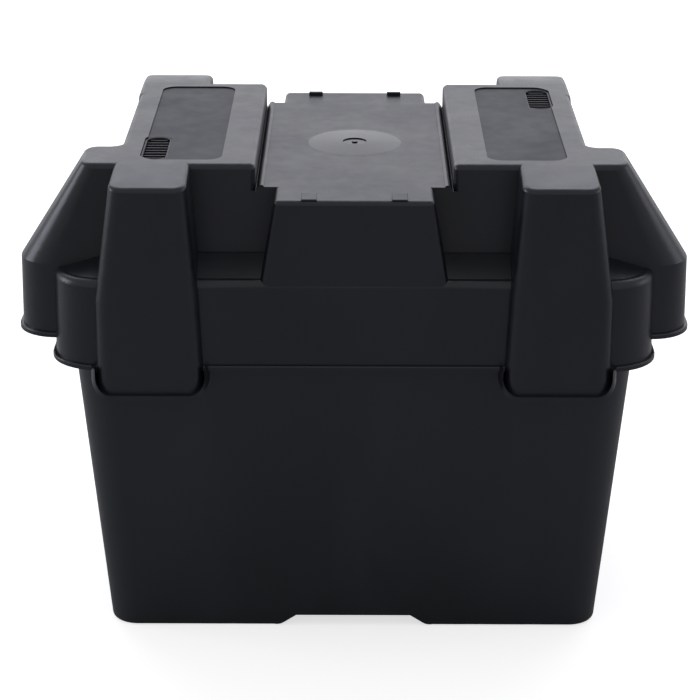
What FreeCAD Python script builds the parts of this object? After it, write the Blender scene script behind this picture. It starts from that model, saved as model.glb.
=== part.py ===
"""Snap-top battery box for a group 24 battery: a tapered tub under a deep, hooded lid.

All sizes are millimetres, +Z is up, and the origin is the middle of the surface that the tub's feet
stand on.  X runs along the long side, and the front with the cable hoods faces -Y.
"""
import FreeCAD
import Part
import math
import os

Vec = FreeCAD.Vector

# ---- what goes in the box -------------------------------------------------------------------
battery_length = 260.0
battery_depth = 173.0
battery_play = 1.4          # free space each side of the battery at the locating ribs
strap_width = 38.0          # hold-down strap that runs over the lid and under the tub

# ---- shared ---------------------------------------------------------------------------------
wall = 3.0                  # wall of both mouldings
fit_gap = 0.3               # running clearance between lid and tub
insert_gap = 0.1            # clearance of a pressed-in vent louvre in its window
bury = 0.1                  # how far a face stops short of a flush face, so that the two never coincide
past = 10.0                 # how far a cutting form runs past what it cuts

# ---- tub --------------------------------------------------------------------------------------
tub_height = 206.9
tub_draft_x = 4.9           # degrees, short sides
tub_draft_y = 4.0           # degrees, long sides
tub_corner_bottom = 15.0
tub_corner_rim = 22.0
tub_bottom_edge = 2.6       # rounding where the walls meet the floor
floor_rise = 6.7            # height of the strap channel under the floor
channel_margin = 12.7       # flat top of the channel, past each edge of the strap
channel_ramp = 9.9          # run of each ramp down to a foot
rib_wide = 3.0
rib_tall = 60.0
rib_inset = 55.0            # from a corner of the battery to the nearest locating rib
rib_foot_x = 0.6            # how far the ribs on the short walls stand out at the floor
rib_foot_y = 0.1            # and those on the long walls
flange_thick = 4.0
flange_round = 1.0
flange_out_x = 1.3          # how far the flange stands out of the tub's wall at the rim, short sides
flange_out_y = 2.6          # and long sides

# ---- lid: heights below its top plane -----------------------------------------------------------
seat_gap = 0.1              # between the tub's flange and the lid's shelf above it
centre_drop = 12.0          # strap recess below the blocks
shelf_drop_inner = 47.0     # sloped shelf on top of the skirt, at the walls of the upper body
shelf_drop_outer = 55.0     # and at its outer edge
skirt_drop = 103.5          # bottom of the skirt
tongue_drop = 116.4         # bottom of the four pillars
hood_drop = 93.5            # bottom of the cable hoods
pillar_kink_drop = 64.0     # where the flare of a pillar ends
hood_kink_drop = 54.0       # where the roof of a hood turns into its outer wall
pillar_droop = 3.6          # how far a pillar's top has fallen at its front wall

# ---- lid: plan sizes ----------------------------------------------------------------------------
skirt_draft = 1.2
skirt_corner = 25.0
skirt_top_round = 4.0
body_in_x = 34.4            # upper body at the top plane, in from the skirt's bottom edge
body_in_y = 27.4
body_draft = 3.2
body_corner_top = 4.0
body_corner_low = 6.0
root_depth = 30.0           # how far pillars, bulges and hoods reach back into the upper body
shelf_shoulder = 1.4        # flat strip between the upper body's wall and the slope of the shelf
shelf_corner = 8.0
shelf_margin = 0.5          # flat strip between the slope and the skirt's rounded edge
recess_margin = 32.5        # strap recess, from the strap's edge to its wall
bulge_margin = 22.0         # centre bulge at its top, from the strap's edge to its side
bulge_in = 1.5              # bulge's top edge, in from the skirt's bottom edge
bulge_flare = 10.0
bulge_corner_top = 3.0
bulge_corner_low = 4.0
bulge_edge_round = 2.4
pillar_past_body = 0.6      # outer side of a pillar at the top, past the upper body's side
pillar_wide = 39.1          # pillar at the top
pillar_out = 6.1            # front wall of a pillar at the top, out from the skirt's bottom edge
pillar_lean = 3.1           # how much farther out that wall is at the tongue
pillar_flare_in = 5.0       # how much wider a pillar is at the kink, inner side
pillar_flare_out = 9.4      # and outer side
pillar_rim_flare_in = 2.5   # what the straight part below the kink adds, inner side
pillar_rim_flare_out = 0.6  # and outer side
pillar_corner_top = 7.0
pillar_corner_rim = 9.0
pillar_edge_round = 2.6
tongue_round = 10.5         # rounding of a tongue's lower corners, seen from the front
hood_reach = 18.4           # flat top of a cable hood, out from the upper body's side
hood_slope_run = 34.8       # run of the hood's sloped roof
hood_rim_flare = 0.5        # what the hood's outer wall adds down to its rim
hood_behind_front = 0.4     # hood's front wall, back from the upper body's front wall
hood_top_width = 35.0
hood_draft = 3.6
hood_corner_top = 8.0
hood_corner_kink = 19.0
hood_corner_rim = 20.0
hood_fillet = 7.0           # hollow fillet between the hood's back wall and the upper body
edge_round = 3.0            # rounding of the upper edges
inner_edge_round = 0.6      # the least rounding left on the inside of those edges
inner_corner = 1.0          # the least corner radius left on the inside of a pillar
block_edge_round = 3.2      # rounding of the blocks' edges along the recess
lip_out = 1.7               # rolled lip at every lower edge
lip_tall = 2.6
tongue_lip_out = 2.8        # the same lip where it follows a pillar's tongue

# ---- lid: details -------------------------------------------------------------------------------
groove_wide = 1.5
groove_deep = 2.2
groove_foot = 0.2           # flat bottom of the groove, along the block
bead_wide = 3.0
bead_tall = 0.9
label_from_recess = 18.0    # label recess, out from the strap recess's wall
label_from_side = 12.5      # and in from the upper body's side
label_from_end = 8.5        # and from its front and back
label_deep = 0.8
label_corner = 8.0
vent_wide = 14.5
vent_long = 44.0
vent_from_label_end = 2.5
vent_past_label = 1.2       # the window's outer side, past the label recess's side
vent_end_round = 6.6
vent_flange = 2.2
vent_flange_thick = 1.2
vent_frame_wide = 1.2
slat_pitch = 4.9
slat_thick = 1.3
slat_angle = 38.0
slat_below_frame = 0.5
nub_wide = 8.0
nub_long = 7.5
nub_tall = 2.2              # at the nub's inner end
nub_edge_tall = 0.7         # and at its end by the lid's edge
nub_gap = 0.2               # from the strap's edge to a nub
nub_from_edge = 1.0
nub_round = 0.4
crown_radius = 28.0         # shallow crown round the gate, in the middle of the recess
crown_tall = 0.9
gate_radius = 6.6           # sunk circle that the gate's nib stands in
gate_deep = 0.6
gate_nib_radius = 1.6


def tan(angle):
    """Tangent of an angle in degrees."""
    return math.tan(math.radians(angle))


# ---- worked out, all from the middle unless said otherwise -----------------------------------------
tub_half_x = battery_length / 2 + battery_play + wall + rib_foot_x
tub_half_y = battery_depth / 2 + battery_play + wall + rib_foot_y
channel_flat = strap_width + 2 * channel_margin
lid_top = tub_height + seat_gap + wall + shelf_drop_outer       # height of the lid's top plane
flange_half_x = tub_half_x + tub_height * tan(tub_draft_x) + flange_out_x
flange_half_y = tub_half_y + tub_height * tan(tub_draft_y) + flange_out_y
skirt_spread = (skirt_drop - shelf_drop_outer) * tan(skirt_draft)
skirt_half_x = flange_half_x + fit_gap + wall + skirt_spread
skirt_half_y = flange_half_y + fit_gap + wall + skirt_spread
body_half_x = skirt_half_x - body_in_x
body_half_y = skirt_half_y - body_in_y
recess_half_x = strap_width / 2 + recess_margin
bulge_half_x = strap_width / 2 + bulge_margin
bulge_half_y = skirt_half_y - bulge_in
pillar_out_x = body_half_x + pillar_past_body
pillar_in_x = pillar_out_x - pillar_wide
pillar_half_y = skirt_half_y + pillar_out
pillar_kink_in_x = pillar_in_x - pillar_flare_in
pillar_kink_out_x = pillar_out_x + pillar_flare_out
pillar_rim_in_x = pillar_kink_in_x - pillar_rim_flare_in
pillar_rim_out_x = pillar_kink_out_x + pillar_rim_flare_out
pillar_rim_half_y = pillar_half_y + pillar_lean
hood_top_x = body_half_x + hood_reach
hood_kink_x = hood_top_x + hood_slope_run
hood_rim_x = hood_kink_x + hood_rim_flare
hood_front_y = body_half_y - hood_behind_front
label_in_x = recess_half_x + label_from_recess
label_out_x = body_half_x - label_from_side
label_half_y = body_half_y - label_from_end
OUT = "parts"


def rounded_wire(x0, x1, y0, y1, radius, z):
    """Closed wire of a rectangle with round corners, at height z, always with eight edges."""
    r = radius
    h = r * (1 - math.sqrt(0.5))
    corners = [
        (Vec(x1 - r, y0, z), Vec(x1 - h, y0 + h, z), Vec(x1, y0 + r, z)),
        (Vec(x1, y1 - r, z), Vec(x1 - h, y1 - h, z), Vec(x1 - r, y1, z)),
        (Vec(x0 + r, y1, z), Vec(x0 + h, y1 - h, z), Vec(x0, y1 - r, z)),
        (Vec(x0, y0 + r, z), Vec(x0 + h, y0 + h, z), Vec(x0 + r, y0, z)),
    ]
    edges = []
    for index, corner in enumerate(corners):
        edges.append(Part.Arc(*corner).toShape())
        following = corners[(index + 1) % 4]
        edges.append(Part.LineSegment(corner[2], following[0]).toShape())
    return Part.Wire(edges)


def tapered(sections):
    """Solid through rounded rectangles, each given as (x0, x1, y0, y1, radius, z)."""
    wires = [rounded_wire(*section) for section in sections]
    return Part.makeLoft(wires, True, True)


def round_top(solid, z, radius):
    """Round every edge of a solid that lies wholly at height z."""
    edges = [
        edge for edge in solid.Edges
        if abs(edge.BoundBox.ZMin - z) < 1e-4 and abs(edge.BoundBox.ZMax - z) < 1e-4
    ]
    return solid.makeFillet(radius, edges)


def mirrored(solid, normal):
    """Copy of a solid, mirrored through the origin's plane with this normal."""
    return solid.mirror(Vec(0, 0, 0), normal)


def fuse_all(solids):
    """One solid out of several that overlap, joined one after another."""
    joined = solids[0]
    for solid in solids[1:]:
        joined = joined.fuse(solid)
    return joined.removeSplitter()


def box_between(x0, x1, y0, y1, z0, z1):
    """Plain box between two corners."""
    return Part.makeBox(x1 - x0, y1 - y0, z1 - z0, Vec(x0, y0, z0))


def extruded_y(points, y0, y1):
    """Polygon given as (x, z) pairs, drawn out along Y."""
    wire = Part.makePolygon([Vec(x, y0, z) for x, z in points + points[:1]])
    return Part.Face(wire).extrude(Vec(0, y1 - y0, 0))


# ---- tub ----------------------------------------------------------------------------------------
def tub_form(inset, floor_z, top_z):
    """Tapered body of the tub, shrunk by inset on every side."""
    def section(z):
        share = z / tub_height
        half_x = tub_half_x + z * tan(tub_draft_x) - inset
        half_y = tub_half_y + z * tan(tub_draft_y) - inset
        corner = tub_corner_bottom + share * (tub_corner_rim - tub_corner_bottom) - inset
        return (-half_x, half_x, -half_y, half_y, corner, z)
    return tapered([section(floor_z), section(top_z)])


def channel_profile(z_floor, rise):
    """Cross-section of the strap channel: flat top and two ramps, from below the floor."""
    flat = channel_flat / 2
    foot = flat + channel_ramp
    below = z_floor - 2 * rise
    return [(-foot - channel_ramp, below), (-foot, z_floor), (-flat, z_floor + rise),
            (flat, z_floor + rise), (foot, z_floor), (foot + channel_ramp, below)]


def locating_ribs():
    """Upright ribs that stand on the floor and keep the battery central between the drafted walls."""
    stop_x = battery_length / 2 + battery_play
    stop_y = battery_depth / 2 + battery_play
    reach_x = tub_half_x + rib_tall * tan(tub_draft_x)
    reach_y = tub_half_y + rib_tall * tan(tub_draft_y)
    along_x = battery_length / 2 - rib_inset
    along_y = battery_depth / 2 - rib_inset
    ribs = []
    for side in (-1, 1):
        for place in (-1, 1):
            x0, x1 = sorted((side * stop_x, side * reach_x))
            y_mid = place * along_y
            ribs.append(box_between(x0, x1, y_mid - rib_wide / 2, y_mid + rib_wide / 2, wall, rib_tall))
            y0, y1 = sorted((side * stop_y, side * reach_y))
            x_mid = place * along_x
            ribs.append(box_between(x_mid - rib_wide / 2, x_mid + rib_wide / 2, y0, y1, wall, rib_tall))
    keep = tub_form(wall / 2, 0, tub_height)
    return [rib.common(keep) for rib in ribs]


def rim_flange():
    """Flat flange round the mouth of the tub, which the lid's shelf comes down on."""
    corner = skirt_corner - wall - fit_gap
    sections = []
    for z in (tub_height - flange_thick, tub_height):
        sections.append((-flange_half_x, flange_half_x, -flange_half_y, flange_half_y, corner, z))
    return round_top(tapered(sections), tub_height, flange_round)


def make_tub():
    """The tub: drafted walls, strap channel under the floor, rim flange and locating ribs."""
    outer = round_top(tub_form(0, 0, tub_height), 0, tub_bottom_edge)
    outer = outer.fuse(rim_flange())
    inner = round_top(tub_form(wall, wall, tub_height + wall), wall, tub_bottom_edge - wall / 2)
    shell = outer.cut(inner)
    reach = tub_half_y + tub_bottom_edge
    raised = extruded_y(channel_profile(wall, floor_rise), -reach, reach)
    raised = raised.common(tub_form(wall / 2, 0, tub_height))
    shell = fuse_all([shell, raised] + locating_ribs())
    slot = extruded_y(channel_profile(0, floor_rise), -reach, reach)
    return shell.cut(slot).removeSplitter()


# ---- lid ----------------------------------------------------------------------------------------
def upper_body(inset):
    """Drafted upper body from the top plane down to under the shelf."""
    top = lid_top - inset
    low = lid_top - shelf_drop_outer - inset
    spread = (top - low) * tan(body_draft)
    x, y = body_half_x - inset, body_half_y - inset
    sections = [
        (-x, x, -y, y, body_corner_top, top),
        (-x - spread, x + spread, -y - spread, y + spread, body_corner_low, low),
    ]
    return round_top(tapered(sections), top, max(edge_round - inset, inner_edge_round))


def recess_tool(inset):
    """What is taken out of the upper body for the strap recess and its two grooves."""
    high = lid_top + wall
    reach = body_half_y + shelf_drop_outer
    half = recess_half_x + inset
    floor_z = lid_top - centre_drop - inset
    middle = box_between(-half, half, -reach, reach, floor_z, high)
    groove_low = floor_z - groove_deep
    foot = recess_half_x - groove_foot - inset
    lip = recess_half_x - groove_wide - inset
    groove = extruded_y([(half, high), (half, groove_low), (foot, groove_low), (lip, floor_z), (lip, high)],
                        -reach, reach)
    return fuse_all([middle] + both_sides(groove))


def round_block_edges(body):
    """Round the long upper edges of the two blocks, along the recess."""
    edges = []
    for edge in body.Edges:
        box = edge.BoundBox
        level = abs(box.ZMin - lid_top) < 1e-3 and abs(box.ZMax - lid_top) < 1e-3
        at_wall = abs(abs(box.Center.x) - recess_half_x) < 1e-3 and box.YLength > body_half_y
        if level and at_wall:
            edges.append(edge)
    return body.makeFillet(block_edge_round, edges)


def skirt(inset, bottom):
    """Skirt and its sloped shelf, shrunk by inset; the flat outer strip of the inner one is the seat."""
    top = lid_top - shelf_drop_outer - inset
    rise = shelf_drop_outer - shelf_drop_inner
    spread = (top - bottom) * tan(skirt_draft)
    low_x, low_y = skirt_half_x - inset, skirt_half_y - inset
    if inset:
        nominal = (lid_top - skirt_drop - bottom) * tan(skirt_draft)
        low_x, low_y = low_x + nominal, low_y + nominal
    high_x, high_y = low_x - spread, low_y - spread
    corner = skirt_corner - inset
    band = tapered([
        (-high_x, high_x, -high_y, high_y, corner, top),
        (-low_x, low_x, -low_y, low_y, corner, bottom),
    ])
    if not inset:
        band = round_top(band, top, skirt_top_round)
    shoulder = shelf_drop_inner * tan(body_draft) + shelf_shoulder - inset
    x, y = body_half_x + shoulder, body_half_y + shoulder
    seat = skirt_top_round + shelf_margin
    shelf = tapered([
        (-x, x, -y, y, shelf_corner, top + rise),
        (-high_x + seat, high_x - seat, -high_y + seat, high_y - seat, corner - seat, top - bury),
    ])
    return band.fuse(shelf)


def centre_bulge(inset):
    """Front centre bulge that carries the strap over the edge; its face runs flush into the skirt."""
    top = lid_top - centre_drop - inset
    low = lid_top - shelf_drop_outer - skirt_top_round - past
    depth = top - low
    x, y = bulge_half_x - inset, bulge_half_y - inset
    face_drop = shelf_drop_outer + skirt_top_round
    flush_y = skirt_half_y - (skirt_drop - face_drop) * tan(skirt_draft) - bury - inset
    spread_x = depth * tan(bulge_flare)
    back = -body_half_y + root_depth
    sections = [
        (-x, x, -y, back, bulge_corner_top, top),
        (-x - spread_x, x + spread_x, -flush_y, back, bulge_corner_low, low),
    ]
    return round_top(tapered(sections), top, max(bulge_edge_round - inset, inner_edge_round))


def tongue_outline(grow, shrink):
    """Front outline of a pillar down to its tongue, as a face in a plane in front of the pillar."""
    y = -pillar_rim_half_y - past
    x0 = pillar_rim_in_x - grow + shrink
    x1 = pillar_rim_out_x + grow - shrink
    bottom = lid_top - tongue_drop + shrink
    r = tongue_round - shrink
    h = r * (1 - math.sqrt(0.5))
    high = lid_top + wall
    edges = [
        Part.LineSegment(Vec(x0, y, high), Vec(x0, y, bottom + r)).toShape(),
        Part.Arc(Vec(x0, y, bottom + r), Vec(x0 + h, y, bottom + h), Vec(x0 + r, y, bottom)).toShape(),
        Part.LineSegment(Vec(x0 + r, y, bottom), Vec(x1 - r, y, bottom)).toShape(),
        Part.Arc(Vec(x1 - r, y, bottom), Vec(x1 - h, y, bottom + h), Vec(x1, y, bottom + r)).toShape(),
        Part.LineSegment(Vec(x1, y, bottom + r), Vec(x1, y, high)).toShape(),
        Part.LineSegment(Vec(x1, y, high), Vec(x0, y, high)).toShape(),
    ]
    return Part.Face(Part.Wire(edges))


def pillar_loft(inset, bottom):
    """Front right pillar without its tongue, shrunk by inset: flared above the kink, straight below."""
    top = lid_top - inset
    kink = lid_top - pillar_kink_drop
    back = -body_half_y + root_depth
    kink_share = pillar_kink_drop / tongue_drop
    kink_y = pillar_half_y + kink_share * (pillar_rim_half_y - pillar_half_y) - inset
    kink_corner = pillar_corner_top + kink_share * (pillar_corner_rim - pillar_corner_top)
    thin = min(inset, pillar_corner_top - inner_corner)
    return [
        (pillar_in_x + inset, pillar_out_x - inset, -pillar_half_y + inset, back,
         pillar_corner_top - thin, top),
        (pillar_kink_in_x + inset, pillar_kink_out_x - inset, -kink_y, back, kink_corner - thin, kink),
        (pillar_rim_in_x + inset, pillar_rim_out_x - inset, -pillar_rim_half_y + inset, back,
         pillar_corner_rim - thin, bottom),
    ]


def droop_tool(inset):
    """What is shaved off a pillar's top: an arc that leaves the top plane at the body's front wall."""
    start = -body_half_y
    run = pillar_half_y - body_half_y
    bend = (run ** 2 + pillar_droop ** 2) / (2 * pillar_droop)
    z = lid_top - inset
    far = run + past

    def on_arc(distance):
        return Vec(0, start - distance, z - bend + math.sqrt(bend ** 2 - distance ** 2))
    arc = Part.Arc(on_arc(0), on_arc(far / 2), on_arc(far)).toShape()
    high = z + 2 * wall
    rest = Part.makePolygon([on_arc(far), Vec(0, start - far, high), Vec(0, start, high), on_arc(0)])
    face = Part.Face(Part.Wire([arc] + rest.Edges))
    return face.extrude(Vec(pillar_rim_out_x + wall, 0, 0))


def pillar(inset):
    """Front right pillar as a solid, with its drooping, rounded top and its round-cornered tongue."""
    bottom = lid_top - tongue_drop
    if inset:
        bottom -= wall
    solid = tapered(pillar_loft(inset, bottom)).cut(droop_tool(inset))
    if inset:
        return solid
    edges = []
    for edge in solid.Edges:
        box = edge.BoundBox
        if box.ZMin > lid_top - pillar_kink_drop / 2 and box.YMin < -body_half_y:
            edges.append(edge)
    solid = solid.makeFillet(pillar_edge_round, edges)
    return solid.common(tongue_outline(0, 0).extrude(Vec(0, pillar_rim_half_y, 0)))


def pillar_lip():
    """Rolled lip that follows the lower edge of the front right pillar's tongue."""
    sections = pillar_loft(0, lid_top - tongue_drop)
    grown = []
    for x0, x1, y0, y1, corner, z in sections:
        grown.append((x0 - tongue_lip_out, x1 + tongue_lip_out, y0 - tongue_lip_out, y1,
                      corner + tongue_lip_out, z))
    body = tapered(grown)
    strip = tongue_outline(tongue_lip_out, 0).cut(tongue_outline(tongue_lip_out, lip_tall))
    strip = strip.extrude(Vec(0, pillar_rim_half_y, 0))
    low = lid_top - tongue_drop
    level = lid_top - skirt_drop + lip_tall
    room = box_between(0, skirt_half_x, -skirt_half_x, -skirt_half_y + wall, low, level)
    return body.common(strip).common(room)


def hood_sections(inset, bottom):
    """Sections of the right cable hood, shrunk by inset square to each of its walls."""
    slope = math.degrees(math.atan2(hood_kink_drop, hood_kink_x - hood_top_x))
    kink = lid_top - hood_kink_drop - inset * tan((90 - slope) / 2)
    levels = [
        (lid_top - inset, hood_top_x - inset * tan(slope / 2), hood_corner_top),
        (kink, hood_kink_x - inset, hood_corner_kink),
        (bottom, hood_rim_x - inset, hood_corner_rim),
    ]
    sections = []
    for z, out_x, corner in levels:
        spread = (lid_top - z) * tan(hood_draft) - inset
        sections.append((body_half_x - root_depth, out_x, -hood_front_y - spread,
                         -hood_front_y + hood_top_width + spread, corner - inset, z))
    return sections


def hood(inset):
    """Right cable hood, which covers the way out for a battery cable."""
    bottom = lid_top - hood_drop
    if inset:
        return tapered(hood_sections(inset, bottom - bury))
    solid = tapered(hood_sections(0, bottom))
    return round_top(solid, lid_top, edge_round)


def hood_gusset():
    """Hollow fillet in the corner between the right hood's back wall and the upper body's side."""
    wires = []
    for drop in (0, shelf_drop_inner):
        x = body_half_x + drop * tan(body_draft)
        y = -hood_front_y + hood_top_width + drop * tan(hood_draft)
        z = lid_top - drop
        r = hood_fillet
        h = r * (1 - math.sqrt(0.5))
        start, end = Vec(x + r, y - bury, z), Vec(x - bury, y + r, z)
        arc = Part.Arc(start, Vec(x + h, y + h, z), end).toShape()
        rest = Part.makePolygon([end, Vec(x - wall, y + r, z), Vec(x - wall, y - wall, z),
                                 Vec(x + r, y - wall, z), start])
        wires.append(Part.Wire([arc] + rest.Edges))
    solid = Part.makeLoft(wires, True, True)
    edges = []
    for edge in solid.Edges:
        box = edge.BoundBox
        if abs(box.ZMin - lid_top) < 1e-4 and box.XLength > wall and box.YLength > wall:
            edges.append(edge)
    return solid.makeFillet(edge_round, edges)


def lip_ring(sections, z0):
    """Rolled lip round the lower end of a tapered form."""
    x0, x1, y0, y1, corner, _ = sections[-1]
    ring = (x0 - lip_out, x1 + lip_out, y0 - lip_out, y1 + lip_out, corner + lip_out)
    solid = tapered([ring + (z0,), ring + (z0 + lip_tall,)])
    return round_top(solid, z0 + lip_tall, lip_out / 2)


def both_sides(solid):
    """A solid and its copy on the other side, left and right."""
    return [solid, mirrored(solid, Vec(1, 0, 0))]


def front_and_back(solid):
    """A solid and its copy, front and back."""
    return [solid, mirrored(solid, Vec(0, 1, 0))]


def all_four(solid):
    """A solid in all four quarters of the lid."""
    return [copy for half in both_sides(solid) for copy in front_and_back(half)]


def whole_from_right(central, right):
    """Whole form from solids that cross the middle and solids that lie on the right only.

    The central ones are cut at the middle, joined with the right ones, and the half is mirrored.
    """
    room = box_between(0, 2 * skirt_half_x, -2 * skirt_half_y, 2 * skirt_half_y, 0, 2 * lid_top)
    half = fuse_all([solid.common(room) for solid in central] + right)
    return fuse_all(both_sides(half))


def lid_outer():
    """Outer form of the lid, still solid."""
    body = round_block_edges(upper_body(0).cut(recess_tool(0)))
    bottom = lid_top - skirt_drop
    skirt_ring = (-skirt_half_x, skirt_half_x, -skirt_half_y, skirt_half_y, skirt_corner, bottom)
    hood_low = lid_top - hood_drop
    central = [skirt(0, bottom).fuse(lip_ring([skirt_ring], bottom)), body]
    central += front_and_back(centre_bulge(0))
    right = front_and_back(pillar(0).fuse(pillar_lip()))
    right.append(hood(0).fuse(lip_ring(hood_sections(0, hood_low), hood_low)).fuse(hood_gusset()))
    return whole_from_right(central, right)


def lid_inner():
    """Space under the lid's wall, open at the bottom."""
    body = upper_body(wall).cut(recess_tool(wall))
    low = lid_top - tongue_drop - wall
    central = [body, skirt(wall, low)] + front_and_back(centre_bulge(wall))
    return whole_from_right(central, front_and_back(pillar(wall)) + [hood(wall)])


def vent_outline(grow, z):
    """Outline of the left vent window at height z: a rectangle with round ends, grown on every side."""
    x0 = -label_out_x - vent_past_label - grow
    x1 = x0 + vent_wide + 2 * grow
    y0 = -label_half_y + vent_from_label_end - grow
    y1 = y0 + vent_long + 2 * grow
    return rounded_wire(x0, x1, y0, y1, vent_end_round + grow, z)


def bead(mid, floor_z):
    """Low bead along the recess with a round top, mid being the middle of its width."""
    x0, x1, low = mid - bead_wide / 2, mid + bead_wide / 2, floor_z - bury
    y = -body_half_y
    section = Part.Wire([
        Part.Arc(Vec(x0, y, floor_z), Vec(mid, y, floor_z + bead_tall), Vec(x1, y, floor_z)).toShape(),
        Part.LineSegment(Vec(x1, y, floor_z), Vec(x1, y, low)).toShape(),
        Part.LineSegment(Vec(x1, y, low), Vec(x0, y, low)).toShape(),
        Part.LineSegment(Vec(x0, y, low), Vec(x0, y, floor_z)).toShape(),
    ])
    return Part.Face(section).extrude(Vec(0, 2 * body_half_y, 0))


def strap_nub(floor_z):
    """Front right strap nub: a ramp from the lid's edge up to an upright inner face."""
    x = strap_width / 2 + nub_gap
    y0 = -bulge_half_y + nub_from_edge
    y1 = y0 + nub_long
    low = floor_z - bury
    side = Part.makePolygon([Vec(x, y0, low), Vec(x, y1, low), Vec(x, y1, floor_z + nub_tall),
                             Vec(x, y0, floor_z + nub_edge_tall), Vec(x, y0, low)])
    ramp = Part.Face(side).extrude(Vec(nub_wide, 0, 0))
    return ramp.makeFillet(nub_round, [edge for edge in ramp.Edges if edge.BoundBox.ZMin > floor_z])


def crown(floor_z):
    """Shallow crown with the sunk gate circle in its top and the nib in the circle."""
    sphere = (crown_radius ** 2 + crown_tall ** 2) / (2 * crown_tall)
    half = crown_radius + crown_tall
    top = floor_z + crown_tall
    dome = Part.makeSphere(sphere, Vec(0, 0, top - sphere))
    dome = dome.common(box_between(-half, half, -half, half, floor_z - bury, top + bury))
    gate = Part.makeCylinder(gate_radius, gate_deep + bury, Vec(0, 0, top - gate_deep))
    nib = Part.makeCylinder(gate_nib_radius, gate_deep + bury, Vec(0, 0, top - gate_deep - bury))
    return dome.cut(gate).fuse(nib)


def plate(wire, height):
    """Flat plate on an outline, drawn upwards."""
    return Part.Face(wire).extrude(Vec(0, 0, height))


def half_turned(solid):
    """Copy turned half a turn about the lid's middle, for the pieces on the right block."""
    turned = solid.copy()
    turned.rotate(Vec(0, 0, 0), Vec(0, 0, 1), 180)
    return turned


def make_vent():
    """Left vent louvre: a frame with a flange behind the window and a row of tilted slats."""
    high = lid_top - label_deep - insert_gap
    low = lid_top - wall
    frame = plate(vent_outline(-insert_gap, low), high - low)
    flange = plate(vent_outline(vent_flange, low - vent_flange_thick), vent_flange_thick)
    hole_low = low - vent_flange_thick
    hole = plate(vent_outline(-insert_gap - vent_frame_wide, hole_low - wall), high - hole_low + 2 * wall)
    solid = frame.fuse(flange).cut(hole)
    x0 = -label_out_x - vent_past_label
    y0 = -label_half_y + vent_from_label_end
    slats = []
    count = int(vent_long / slat_pitch)
    first = y0 + (vent_long - (count - 1) * slat_pitch) / 2
    tall = high - hole_low
    for index in range(count):
        y = first + index * slat_pitch
        slat = box_between(x0, x0 + vent_wide, y - slat_thick / 2, y + slat_thick / 2,
                           hole_low - tall, high + tall)
        slat.rotate(Vec(x0, y, (high + hole_low) / 2), Vec(1, 0, 0), slat_angle)
        slats.append(slat)
    room = plate(vent_outline(-insert_gap - vent_frame_wide / 2, hole_low), tall - slat_below_frame)
    return fuse_all([solid] + [slat.common(room) for slat in slats])


def make_lid():
    """The lid: shell, label recesses, vent windows, strap nubs, beads, crown and gate mark."""
    shell = lid_outer().cut(lid_inner())
    label_wire = rounded_wire(-label_out_x, -label_in_x, -label_half_y, label_half_y,
                              label_corner, lid_top - label_deep)
    label = plate(label_wire, wall)
    window = plate(vent_outline(0, lid_top - 2 * wall), 3 * wall)
    floor_z = lid_top - centre_drop
    shell = shell.cut(fuse_all([label, window])).cut(fuse_all([half_turned(label), half_turned(window)]))
    bead_mid = recess_half_x - groove_wide - bead_wide / 2
    return fuse_all([shell, crown(floor_z)] + both_sides(bead(bead_mid, floor_z))
                    + all_four(strap_nub(floor_z)))


def save(name, solid):
    """Write one piece, after checking that it is one valid solid."""
    print(name, "solids", len(solid.Solids), "valid", solid.isValid(), "volume", round(solid.Volume))
    solid.exportStep(os.path.join(OUT, name + ".step"))


os.makedirs(OUT, exist_ok=True)
save("base_tub", make_tub())
save("lid", make_lid())
vent = make_vent()
save("vent_louvre_left", vent)
save("vent_louvre_right", half_turned(vent))
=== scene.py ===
"""Studio scene of a snap-top battery box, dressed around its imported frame.

The box is two polypropylene mouldings, a tapered tub and a deep lid with cable hoods, plus two vent
louvres that are pressed into the lid.  The box's lengths are written in millimetres and turned to metres
by MM; the studio around it is written in metres.
"""
import logging
import math
from collections.abc import Sequence
from dataclasses import dataclass, field
from enum import Enum
from typing import Any

import bmesh
import bpy
import numpy as np
from mathutils import Matrix, Vector

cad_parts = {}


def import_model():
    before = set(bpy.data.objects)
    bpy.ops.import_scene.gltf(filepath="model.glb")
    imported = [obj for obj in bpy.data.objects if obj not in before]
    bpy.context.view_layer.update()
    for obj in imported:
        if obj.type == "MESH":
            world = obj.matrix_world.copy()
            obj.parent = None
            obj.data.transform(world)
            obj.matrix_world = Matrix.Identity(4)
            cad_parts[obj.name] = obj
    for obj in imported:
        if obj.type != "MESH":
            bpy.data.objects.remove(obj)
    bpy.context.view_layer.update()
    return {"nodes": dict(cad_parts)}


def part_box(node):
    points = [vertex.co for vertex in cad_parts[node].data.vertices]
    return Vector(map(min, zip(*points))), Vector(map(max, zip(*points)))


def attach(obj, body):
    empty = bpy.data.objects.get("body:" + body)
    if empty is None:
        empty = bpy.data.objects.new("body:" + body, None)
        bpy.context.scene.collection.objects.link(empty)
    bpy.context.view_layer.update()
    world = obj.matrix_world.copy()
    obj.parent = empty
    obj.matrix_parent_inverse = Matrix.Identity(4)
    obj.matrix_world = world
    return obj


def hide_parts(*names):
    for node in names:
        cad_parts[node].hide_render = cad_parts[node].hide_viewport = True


MM = 0.001
WHITE = "#ffffff"
NOISE_LOW, NOISE_HIGH = 0.3, 0.7        # most values of a noise texture lie between these
LOG = logging.getLogger("battery_box")


class Body(Enum):
    """The two bodies that the lid's lift joint joins."""

    TUB = "tub"
    LID = "lid"


class Slot(Enum):
    """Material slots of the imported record."""

    TUB = "tub_plastic"
    LID = "lid_plastic"
    VENT = "vent_plastic"


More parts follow.
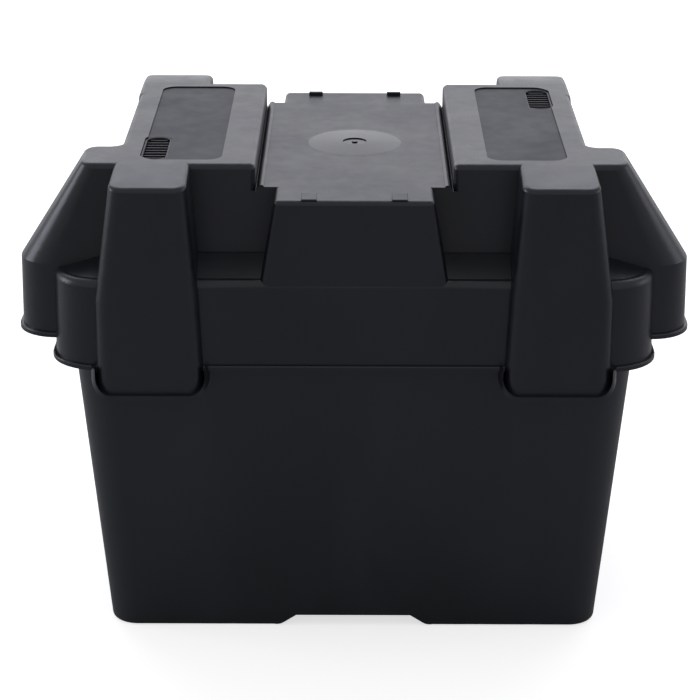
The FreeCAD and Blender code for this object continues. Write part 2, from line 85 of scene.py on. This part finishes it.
# ---- colour and node helpers ---------------------------------------------------------------------
def linear(hex_colour: str) -> tuple[float, float, float, float]:
    """Turn an sRGB hex colour into linear RGBA.

    Args:
        hex_colour: colour such as "#1c1c1e".

    Returns:
        Linear red, green, blue and an alpha of 1.
    """
    digits = hex_colour.lstrip("#")
    values = [int(digits[i:i + 2], 16) / 255 for i in (0, 2, 4)]
    red, green, blue = (v / 12.92 if v <= 0.04045 else ((v + 0.055) / 1.055) ** 2.4 for v in values)
    return red, green, blue, 1.0


def add_node(tree: bpy.types.NodeTree, kind: str, settings: dict[str, Any] | None = None,
             values: dict[str, Any] | None = None) -> bpy.types.Node:
    """Add one node, set its properties and fill or link its inputs.

    Args:
        tree: node tree that gets the node.
        kind: Blender's name for the node type.
        settings: properties of the node itself.
        values: inputs by name or number; an output socket is linked, anything else is set.

    Returns:
        The new node.
    """
    node = tree.nodes.new(kind)
    for key, value in (settings or {}).items():
        setattr(node, key, value)
    for key, value in (values or {}).items():
        socket = node.inputs[int(key)] if key.isdigit() else node.inputs[key]
        if isinstance(value, bpy.types.NodeSocket):
            tree.links.new(value, socket)
        else:
            socket.default_value = value
    return node


def empty_tree(owner: bpy.types.Material | bpy.types.World) -> bpy.types.NodeTree:
    """Switch on the nodes of a material or a world and clear them.

    Args:
        owner: new material or world.

    Returns:
        Its node tree, with no node left in it.
    """
    owner.use_nodes = True
    owner.node_tree.nodes.clear()
    return owner.node_tree


# ---- finishes ------------------------------------------------------------------------------------
@dataclass(frozen=True)
class GlossZone:
    """Box-shaped part of a moulding where the mould is etched or polished.

    The zone lies the same way left and right of the middle, and in front of it and behind it.
    """

    name: str
    x_low: float
    x_high: float
    y_half: float
    z_low: float
    z_high: float
    roughness_rise: float           # below zero where the mould is polished


@dataclass(frozen=True)
class MouldedPolypropylene:
    """Black polypropylene, injection moulded in a spark-eroded mould.

    The eye sees a near-black body under a soft, broad sheen: bright at a grazing angle and dark face on,
    with a fine sand-like grain and faint flow marks where the melt ran.
    """

    name: str
    colour: str = "#13151a"
    flow_colour: str = "#171920"
    roughness: float = 0.32
    roughness_spread: float = 0.07
    ior: float = 1.49               # polypropylene
    sheen_colour: str = "#f6f8ff"   # the carbon black gives the gloss a cool cast
    grain_mm: float = 0.9           # spark-eroded grain is 0.1 mm: drawn coarser, so that it shows
    grain_depth_mm: float = 0.018
    grain_strength: float = 0.6
    fine_ratio: float = 2.2         # the bumps between the grains are this much finer
    fine_share: float = 0.6         # and this much as tall
    flow_mm: float = 55.0           # length of a flow mark across a wall
    flow_upright: float = 0.35      # a mark up a wall is longer by one over this
    flow_low: float = 0.35          # noise value where a flow mark starts to show
    flow_high: float = 0.65         # noise value where it shows in full
    flow_share: float = 0.4         # weight of the flow marks beside the handling marks
    handling_mm: float = 9.0        # patches rubbed smoother by hands and cloths
    zones: tuple[GlossZone, ...] = ()

    def build(self) -> bpy.types.Material:
        """Make the material with its node tree.

        Returns:
            The material, which reads Object coordinates.
        """
        material = bpy.data.materials.new(self.name)
        tree = empty_tree(material)
        place = add_node(tree, "ShaderNodeTexCoord").outputs["Object"]
        flow = self._flow(tree, place)
        colour = add_node(tree, "ShaderNodeMix", {"data_type": "RGBA"}, {
            "Factor": flow, "6": linear(self.colour), "7": linear(self.flow_colour)})
        shader = add_node(tree, "ShaderNodeBsdfPrincipled", values={
            "Base Color": colour.outputs[2], "IOR": self.ior, "Metallic": 0.0,
            "Specular Tint": linear(self.sheen_colour),
            "Roughness": self._roughness(tree, place, flow),
            "Normal": self._grain(tree, place)})
        add_node(tree, "ShaderNodeOutputMaterial", values={"Surface": shader.outputs["BSDF"]})
        return material

    def _flow(self, tree: bpy.types.NodeTree, place: bpy.types.NodeSocket) -> bpy.types.NodeSocket:
        """Faint marks of the running melt, drawn out up the walls.

        Args:
            tree: node tree of the material.
            place: Object coordinates.

        Returns:
            Socket with the strength of the marks, from 0 to 1.
        """
        stretched = add_node(tree, "ShaderNodeMapping", values={
            "Vector": place, "Scale": (1.0, 1.0, self.flow_upright)})
        noise = add_node(tree, "ShaderNodeTexNoise", values={
            "Vector": stretched.outputs["Vector"], "Scale": 1 / (self.flow_mm * MM),
            "Detail": 2.0, "Roughness": 0.5, "Distortion": 0.6})
        ramp = add_node(tree, "ShaderNodeMapRange", values={
            "Value": noise.outputs["Fac"], "From Min": self.flow_low, "From Max": self.flow_high})
        return ramp.outputs["Result"]

    def _roughness(self, tree: bpy.types.NodeTree, place: bpy.types.NodeSocket,
                   flow: bpy.types.NodeSocket) -> bpy.types.NodeSocket:
        """Roughness: the base value, varied by flow and handling marks, and changed in each gloss zone.

        Args:
            tree: node tree of the material.
            place: Object coordinates.
            flow: strength of the flow marks.

        Returns:
            Socket with the roughness.
        """
        rubbed = add_node(tree, "ShaderNodeTexNoise", values={
            "Vector": place, "Scale": 1 / (self.handling_mm * MM), "Detail": 3.0, "Roughness": 0.55})
        both = add_node(tree, "ShaderNodeMath", {"operation": "MULTIPLY_ADD"}, {
            "0": flow, "1": self.flow_share, "2": rubbed.outputs["Fac"]})
        varied = add_node(tree, "ShaderNodeMapRange", values={
            "Value": both.outputs[0], "From Min": NOISE_LOW, "From Max": NOISE_HIGH + self.flow_share,
            "To Min": self.roughness - self.roughness_spread,
            "To Max": self.roughness + self.roughness_spread})
        roughness = varied.outputs["Result"]
        for zone in self.zones:
            settings = {"operation": "MULTIPLY_ADD", "label": zone.name}
            changed = add_node(tree, "ShaderNodeMath", settings, {
                "0": self._share(tree, place, zone), "1": zone.roughness_rise, "2": roughness})
            roughness = changed.outputs[0]
        return roughness

    def _share(self, tree: bpy.types.NodeTree, place: bpy.types.NodeSocket,
               zone: GlossZone) -> bpy.types.NodeSocket:
        """Product of three range tests, one along each axis.

        Args:
            tree: node tree of the material.
            place: Object coordinates.
            zone: the zone that is tested.

        Returns:
            Socket that is 1 in the zone and 0 elsewhere.
        """
        split = add_node(tree, "ShaderNodeSeparateXYZ", values={"Vector": place})
        ranges = (("X", zone.x_low, zone.x_high), ("Y", 0.0, zone.y_half), ("Z", zone.z_low, zone.z_high))
        tests = []
        for axis, low, high in ranges:
            size = add_node(tree, "ShaderNodeMath", {"operation": "ABSOLUTE"}, {"0": split.outputs[axis]})
            inside = add_node(tree, "ShaderNodeMath", {"operation": "COMPARE"}, {
                "0": size.outputs[0], "1": (low + high) / 2 * MM, "2": (high - low) / 2 * MM})
            tests.append(inside.outputs[0])
        share = tests[0]
        for test in tests[1:]:
            product = add_node(tree, "ShaderNodeMath", {"operation": "MULTIPLY"}, {"0": share, "1": test})
            share = product.outputs[0]
        return share

    def _grain(self, tree: bpy.types.NodeTree, place: bpy.types.NodeSocket) -> bpy.types.NodeSocket:
        """Grain of the mould: small rounded bumps with finer ones between them.

        Args:
            tree: node tree of the material.
            place: Object coordinates.

        Returns:
            Socket with the bent normal.
        """
        pebbles = add_node(tree, "ShaderNodeTexVoronoi", {"feature": "SMOOTH_F1"}, {
            "Vector": place, "Scale": 1 / (self.grain_mm * MM), "Smoothness": 0.7})
        fine = add_node(tree, "ShaderNodeTexNoise", values={
            "Vector": place, "Scale": self.fine_ratio / (self.grain_mm * MM), "Detail": 2.0})
        height = add_node(tree, "ShaderNodeMath", {"operation": "MULTIPLY_ADD"}, {
            "0": fine.outputs["Fac"], "1": self.fine_share, "2": pebbles.outputs["Distance"]})
        bump = add_node(tree, "ShaderNodeBump", values={
            "Height": height.outputs[0], "Strength": self.grain_strength,
            "Distance": self.grain_depth_mm * MM})
        return bump.outputs["Normal"]


# ---- surfaces ------------------------------------------------------------------------------------
def mesh_object(name: str, points: np.ndarray, faces: np.ndarray) -> bpy.types.Object:
    """Put points and faces into a new smooth-shaded mesh object at the origin.

    Args:
        name: name of the object and its mesh.
        points: array of shape (n, 3), in millimetres.
        faces: array of point numbers, one row per face.

    Returns:
        The object, linked to the scene.
    """
    mesh = bpy.data.meshes.new(name)
    mesh.from_pydata((points * MM).tolist(), [], faces.tolist())
    mesh.polygons.foreach_set("use_smooth", np.ones(len(mesh.polygons), dtype=bool))
    mesh.update()
    piece = bpy.data.objects.new(name, mesh)
    bpy.context.scene.collection.objects.link(piece)
    return piece


def grid_faces(rows: int, columns: int, close_rows: bool, start: int = 0) -> np.ndarray:
    """Quads of a grid of points whose columns run round and close.

    Args:
        rows: number of rings.
        columns: number of points in a ring.
        close_rows: whether the last ring joins the first one.
        start: number of the grid's first point.

    Returns:
        Array of shape (n, 4) of point numbers.
    """
    last = rows if close_rows else rows - 1
    row, column = np.meshgrid(np.arange(last), np.arange(columns), indexing="ij")
    above, beside = (row + 1) % rows, (column + 1) % columns
    quads = np.stack([row * columns + column, row * columns + beside,
                      above * columns + beside, above * columns + column], axis=-1)
    return quads.reshape(-1, 4) + start


def merge_close_points(piece: bpy.types.Object) -> None:
    """Merge points that lie together, as at the ends of a closed form, and turn every face outwards.

    Args:
        piece: object whose mesh is changed.
    """
    mesh = bmesh.new()
    mesh.from_mesh(piece.data)
    bmesh.ops.remove_doubles(mesh, verts=mesh.verts, dist=MM / 1000)
    bmesh.ops.recalc_face_normals(mesh, faces=mesh.faces)
    mesh.to_mesh(piece.data)
    mesh.free()


# ---- the box -------------------------------------------------------------------------------------
@dataclass
class VentLouvre:
    """Pressed-in vent louvre: a rolled frame with a flange behind, and a row of tilted slats."""

    side: str
    frame_wide: float = 1.2
    flange: float = 2.2             # reach of the flange past the frame, behind the window
    flange_thick: float = 1.2
    corner: float = 6.5             # outer radius of the frame's corners
    edge_roll: float = 0.35
    edge_bevel: float = 0.12
    pitch: float = 4.9              # from slat to slat
    pitch_slack: float = 0.2        # the last slat may be short of its pitch by this
    slat_thick: float = 1.2
    slat_deep: float = 3.4
    slat_blunt: float = 0.6         # power of the section: 1 gives an ellipse, less a blunter edge
    slat_end: int = 12              # power of the closing: more keeps the slat full nearer its end
    tilt: float = 74.0              # degrees that a slat leans from upright, towards the front
    path_points: int = 96
    roll_points: int = 5
    slat_rows: int = 21
    slat_points: int = 28
    low: Vector = field(init=False)
    high: Vector = field(init=False)

    def __post_init__(self) -> None:
        """Read the place of the insert from the frame."""
        low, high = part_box(f"vent_louvre_{self.side}")
        self.low, self.high = low / MM, high / MM

    @property
    def middle(self) -> Vector:
        """Middle of the insert."""
        return (self.low + self.high) / 2

    @property
    def half_frame(self) -> tuple[float, float]:
        """Half the outer size of the frame, across the lid and along it."""
        return ((self.high.x - self.low.x) / 2 - self.flange,
                (self.high.y - self.low.y) / 2 - self.flange)

    def outline(self) -> tuple[np.ndarray, np.ndarray]:
        """Outer edge of the frame and its outward directions.

        The outline is a rectangle with round corners, walked once round: point = corner centre + radius
        times (cos a, sin a), where the angle a runs a quarter turn in each corner, so the straight
        stretches are what lies between two corners.

        Returns:
            Points and unit outward directions, each of shape (n, 2).
        """
        half_x, half_y = self.half_frame
        per_corner = self.path_points // 4
        angle = np.concatenate([quarter * np.pi / 2 + np.linspace(0, np.pi / 2, per_corner)
                                for quarter in range(4)])
        out = np.stack([np.cos(angle), np.sin(angle)], axis=-1)
        sign = np.repeat(np.array([[1, 1], [-1, 1], [-1, -1], [1, -1]]), per_corner, axis=0)
        centre = sign * np.array([half_x - self.corner, half_y - self.corner])
        return np.array(self.middle.xy) + centre + self.corner * out, out

    def profile(self) -> np.ndarray:
        """Section of the frame: an upright wall with a rolled top and a flange at its foot.

        Each of the top's two edges is a quarter circle, point = centre + edge_roll times a unit direction.
        The direction turns from level to upright on the inside, and from upright to level on the outside.

        Returns:
            Array of shape (n, 2) with the distance outwards and the height.
        """
        top, low = self.high.z, self.low.z
        step = low + self.flange_thick
        roll = self.edge_roll
        turn = np.linspace(0, np.pi / 2, self.roll_points)
        across, up = roll * np.cos(turn), roll * np.sin(turn)
        inner = np.stack([roll - self.frame_wide - across, top - roll + up], axis=-1)
        outer = np.stack([up - roll, top - roll + across], axis=-1)
        foot = np.array([[0.0, step], [self.flange, step], [self.flange, low], [-self.frame_wide, low]])
        return np.concatenate([inner, outer, foot])

    def frame_piece(self) -> bpy.types.Object:
        """Frame: the section carried round the outline, point = outline + outward distance * direction.

        Returns:
            The frame, closed, with its sharp edges bevelled.
        """
        path, out = self.outline()
        section = self.profile()
        flat = path[:, None, :] + section[None, :, :1] * out[:, None, :]
        height = np.broadcast_to(section[None, :, 1:], flat.shape[:2] + (1,))
        points = np.concatenate([flat, height], axis=-1).reshape(-1, 3)
        faces = grid_faces(len(path), len(section), close_rows=True)
        piece = mesh_object(f"vent_frame_{self.side}", points, faces)
        bevel = piece.modifiers.new("soft_edges", "BEVEL")
        bevel.width = self.edge_bevel * MM
        bevel.segments = 2
        bevel.limit_method = "ANGLE"
        return piece

    def slat_section(self) -> tuple[np.ndarray, np.ndarray]:
        """Section of a slat: a long oval with blunt edges, tilted about its middle.

        In its own plane the section is (a cos u, b |sin u|^p with the sign of sin u), where a and b are half
        the slat's depth and thickness, and p is slat_blunt.

        Returns:
            Distance along the lid and height of its points, each of shape (slat_points,).
        """
        turn = np.linspace(0, 2 * np.pi, self.slat_points, endpoint=False)
        deep = self.slat_deep / 2 * np.cos(turn)
        thick = self.slat_thick / 2 * np.sign(np.sin(turn)) * np.abs(np.sin(turn)) ** self.slat_blunt
        angle = math.radians(self.tilt)
        return (thick * math.cos(angle) - deep * math.sin(angle),
                thick * math.sin(angle) + deep * math.cos(angle))

    def slat_half_long(self, y: float) -> float:
        """Half the length of a slat, which ends inside the frame's wall, also between round corners.

        Args:
            y: distance of the slat from the middle of the window.

        Returns:
            Half its length.
        """
        half_x, half_y = self.half_frame
        past_corner = max(abs(y) - (half_y - self.corner), 0.0)
        reach = half_x - self.corner + math.sqrt(self.corner ** 2 - past_corner ** 2)
        return reach - self.frame_wide / 2

    def slats_piece(self) -> bpy.types.Object:
        """Slats: the tilted section drawn across the window, once for each slat.

        A ring of a slat is its section times (1 - t^n)^0.5, where t runs from -1 to 1 across the window and
        n is slat_end, so the slat keeps its size and closes to a point inside the frame at both ends.

        Returns:
            All the slats of the louvre as one object.
        """
        count = int((2 * self.half_frame[1] + self.pitch_slack) / self.pitch)
        across = np.linspace(-1, 1, self.slat_rows)
        closing = np.sqrt(np.clip(1 - across ** self.slat_end, 0, 1))
        side_y, side_z = self.slat_section()
        ring_z = closing[:, None] * side_z[None, :]
        points, faces = [], []
        for index in range(count):
            y = (index - (count - 1) / 2) * self.pitch
            x = np.broadcast_to(self.slat_half_long(y) * across[:, None], ring_z.shape)
            ring_y = y + closing[:, None] * side_y[None, :]
            points.append(np.stack([x, ring_y, ring_z], axis=-1).reshape(-1, 3))
            faces.append(grid_faces(self.slat_rows, self.slat_points, close_rows=False,
                                    start=index * ring_z.size))
        placed = np.concatenate(points) + np.array(self.middle)
        piece = mesh_object(f"vent_slats_{self.side}", placed, np.concatenate(faces))
        merge_close_points(piece)
        return piece

    def dress(self, material: bpy.types.Material) -> None:
        """Build both pieces, which ride on the lid; the frame stands for the CAD insert.

        Args:
            material: finish of the frame and the slats.
        """
        frame_ring, slats = self.frame_piece(), self.slats_piece()
        for piece in (frame_ring, slats):
            piece.data.materials.append(material)
            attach(piece, Body.LID.value)
        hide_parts(f"vent_louvre_{self.side}")
        LOG.info("vent louvre %s: frame and slats", self.side)


@dataclass
class Moulding:
    """One of the two large mouldings, carried over from the frame with its own finish."""

    node: str
    body: Body
    slot: Slot

    def dress(self, nodes: dict[str, bpy.types.Object], finish: MouldedPolypropylene) -> None:
        """Give the moulding its finish.

        Args:
            nodes: objects of the frame by name.
            finish: plastic of the moulding.
        """
        piece = nodes[self.node]
        piece.data.materials.clear()
        piece.data.materials.append(finish.build())
        LOG.info("moulding %s on body %s: %s", self.node, self.body.value, finish.name)


@dataclass(frozen=True)
class LidGloss:
    """Floors of the lid that are duller or glossier than the rest, measured down from its top plane."""

    label_near: float = 69.5        # inner edge of a label recess, from the middle of the lid
    label_far: float = 111.5
    label_half_long: float = 76.5
    label_deep: float = 0.8
    label_rise: float = 0.27        # the label floors are etched
    recess_half_wide: float = 50.0
    recess_half_long: float = 110.0
    recess_deep: float = 12.0
    recess_rise: float = 0.06
    crown_reach: float = 30.0
    crown_top: float = 1.2          # its zone ends this far above the recess floor, clear of the crown
    crown_edge: float = 0.12        # height above the recess floor where the crown's polish starts
    crown_rise: float = -0.14       # the crown is polished round the gate
    play: float = 0.3               # a zone reaches this far past its floor

    def zones(self) -> tuple[GlossZone, ...]:
        """Work out the three zones from the lid's height in the frame.

        Returns:
            Zones for the label floors, the recess floor and the crown.
        """
        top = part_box("lid")[1].z / MM
        label, recess = top - self.label_deep, top - self.recess_deep
        edge = recess + self.crown_edge
        return (
            GlossZone("label_floors", self.label_near, self.label_far, self.label_half_long,
                      label - self.play, label + self.play, self.label_rise),
            GlossZone("recess_floor", 0.0, self.recess_half_wide, self.recess_half_long,
                      recess - self.play, edge, self.recess_rise),
            GlossZone("crown", 0.0, self.crown_reach, self.crown_reach,
                      edge, recess + self.crown_top, self.crown_rise),
        )


# ---- studio --------------------------------------------------------------------------------------
@dataclass(frozen=True)
class Softbox:
    """Large rectangular lamp behind diffusing cloth, aimed at a point; lengths in metres."""

    name: str
    place: tuple[float, float, float]
    aim: tuple[float, float, float]
    wide: float
    tall: float
    watts: float
    colour: str = "#f3f4ff"         # a little cooler than white

    def build(self) -> None:
        """Add the lamp to the scene."""
        data = bpy.data.lights.new(self.name, "AREA")
        data.shape = "RECTANGLE"
        data.size, data.size_y = self.wide, self.tall
        data.energy = self.watts
        data.color = linear(self.colour)[:3]
        lamp = bpy.data.objects.new(self.name, data)
        lamp.visible_camera = False
        lamp.location = self.place
        lamp.rotation_euler = (Vector(self.aim) - Vector(self.place)).to_track_quat("-Z", "Y").to_euler()
        bpy.context.scene.collection.objects.link(lamp)


@dataclass(frozen=True)
class Studio:
    """Pale floor, soft lamps and the world light around the box."""

    floor_half: float = 6.0         # metres
    floor_colour: str = "#b8b8b8"   # grey card that lights the box from below
    floor_shown: str = "#e4e4e4"    # the same floor as the camera sees it
    floor_lift: float = 0.66
    world_level: float = 0.45
    reflected_level: float = 0.6
    lamps: tuple[Softbox, ...] = (
        Softbox("back_panel", (0.0, 2.2, 0.65), (0.0, 0.0, 0.65), 5.0, 1.3, 12.0),
        Softbox("back_softbox", (0.0, 1.36, 1.73), (0.0, 0.0, 0.25), 3.0, 1.4, 24.0),
        Softbox("left_softbox", (-2.4, 0.2, 0.7), (0.0, 0.0, 0.2), 1.2, 1.2, 15.0),
        Softbox("right_softbox", (2.4, 0.2, 0.7), (0.0, 0.0, 0.2), 1.2, 1.2, 5.0),
    )

    def build(self) -> None:
        """Add floor, world and lamps."""
        self._floor()
        self._world()
        for lamp in self.lamps:
            lamp.build()
        bpy.context.scene.view_settings.view_transform = "Standard"
        LOG.info("studio: floor, world and %d lamps", len(self.lamps))

    def _floor(self) -> None:
        """Floor: a pale card that is lifted to white where it is lit, and keeps the shadow of the box.

        The lift and the paler colour are for the camera alone, so the box is lit by a grey card.
        """
        half = self.floor_half / MM
        corners = np.array([[-half, -half, 0], [half, -half, 0], [half, half, 0], [-half, half, 0]])
        floor = mesh_object("studio_floor", corners, np.array([[0, 1, 2, 3]]))
        material = bpy.data.materials.new("painted_floor")
        tree = empty_tree(material)
        ray = add_node(tree, "ShaderNodeLightPath")
        card = add_node(tree, "ShaderNodeBsdfDiffuse", values={"Color": linear(self.floor_colour)})
        pale = add_node(tree, "ShaderNodeBsdfDiffuse", values={"Color": linear(self.floor_shown)})
        lift = add_node(tree, "ShaderNodeEmission", values={
            "Color": linear(WHITE), "Strength": self.floor_lift})
        lifted = add_node(tree, "ShaderNodeAddShader", values={"0": pale.outputs[0], "1": lift.outputs[0]})
        shown = add_node(tree, "ShaderNodeMixShader", values={
            "Fac": ray.outputs["Is Camera Ray"], "1": card.outputs[0], "2": lifted.outputs[0]})
        add_node(tree, "ShaderNodeOutputMaterial", values={"Surface": shown.outputs[0]})
        floor.data.materials.append(material)

    def _world(self) -> None:
        """World: white to the camera, a pale grey in reflections and a softer grey as light on the box."""
        world = bpy.data.worlds.new("studio_world")
        bpy.context.scene.world = world
        tree = empty_tree(world)
        ray = add_node(tree, "ShaderNodeLightPath")
        strength = add_node(tree, "ShaderNodeMapRange", values={
            "Value": ray.outputs["Is Glossy Ray"],
            "To Min": self.world_level, "To Max": self.reflected_level})
        shown = add_node(tree, "ShaderNodeMapRange", values={
            "Value": ray.outputs["Is Camera Ray"], "To Min": strength.outputs["Result"], "To Max": 1.0})
        back = add_node(tree, "ShaderNodeBackground", values={
            "Color": linear(WHITE), "Strength": shown.outputs["Result"]})
        add_node(tree, "ShaderNodeOutputWorld", values={"Surface": back.outputs[0]})


@dataclass(frozen=True)
class ProductCamera:
    """Camera in front of the box, looking down on it."""

    distance: float = 1.206         # metres in front of the box's middle
    height: float = 0.5925          # metres above the floor
    pitch: float = 21.0             # degrees below the horizontal
    roll: float = 0.18              # degrees
    focal_px: float = 2248.0        # focal length, where the frame is frame_px wide
    frame_px: float = 700.0
    shift_px: float = -4.0
    sensor: float = 36.0            # millimetres
    near: float = 0.05              # metres
    far: float = 50.0

    def build(self) -> None:
        """Add the camera and make it the scene's camera."""
        data = bpy.data.cameras.new("product_camera")
        data.sensor_width = self.sensor
        data.sensor_fit = "HORIZONTAL"
        data.lens = self.focal_px / self.frame_px * self.sensor
        data.shift_x = self.shift_px / self.frame_px
        data.clip_start, data.clip_end = self.near, self.far
        camera = bpy.data.objects.new("product_camera", data)
        turn = Matrix.Rotation(math.radians(90 - self.pitch), 4, "X")
        roll = Matrix.Rotation(math.radians(self.roll), 4, "Z")
        camera.matrix_world = Matrix.Translation((0.0, -self.distance, self.height)) @ turn @ roll
        bpy.context.scene.collection.objects.link(camera)
        bpy.context.scene.camera = camera
        LOG.info("camera: %.1f mm lens", data.lens)


def main() -> None:
    """Build the scene in order: frame, camera, studio, mouldings and inserts."""
    logging.basicConfig(level=logging.INFO, format="%(name)s: %(message)s")
    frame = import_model()
    ProductCamera().build()
    Studio().build()
    lid_finish = MouldedPolypropylene("black_polypropylene_lid", zones=LidGloss().zones())
    tub_finish = MouldedPolypropylene("black_polypropylene_tub", colour="#1b1d21", flow_colour="#202227",
                                      roughness=0.38)
    vent_finish = MouldedPolypropylene("black_polypropylene_vent", colour="#0f1014",
                                       flow_colour="#131418", roughness=0.5, grain_depth_mm=0.006)
    Moulding("lid", Body.LID, Slot.LID).dress(frame["nodes"], lid_finish)
    Moulding("base_tub", Body.TUB, Slot.TUB).dress(frame["nodes"], tub_finish)
    vent_material = vent_finish.build()
    for side in ("left", "right"):
        VentLouvre(side).dress(vent_material)


if __name__ == "__main__":
    main()
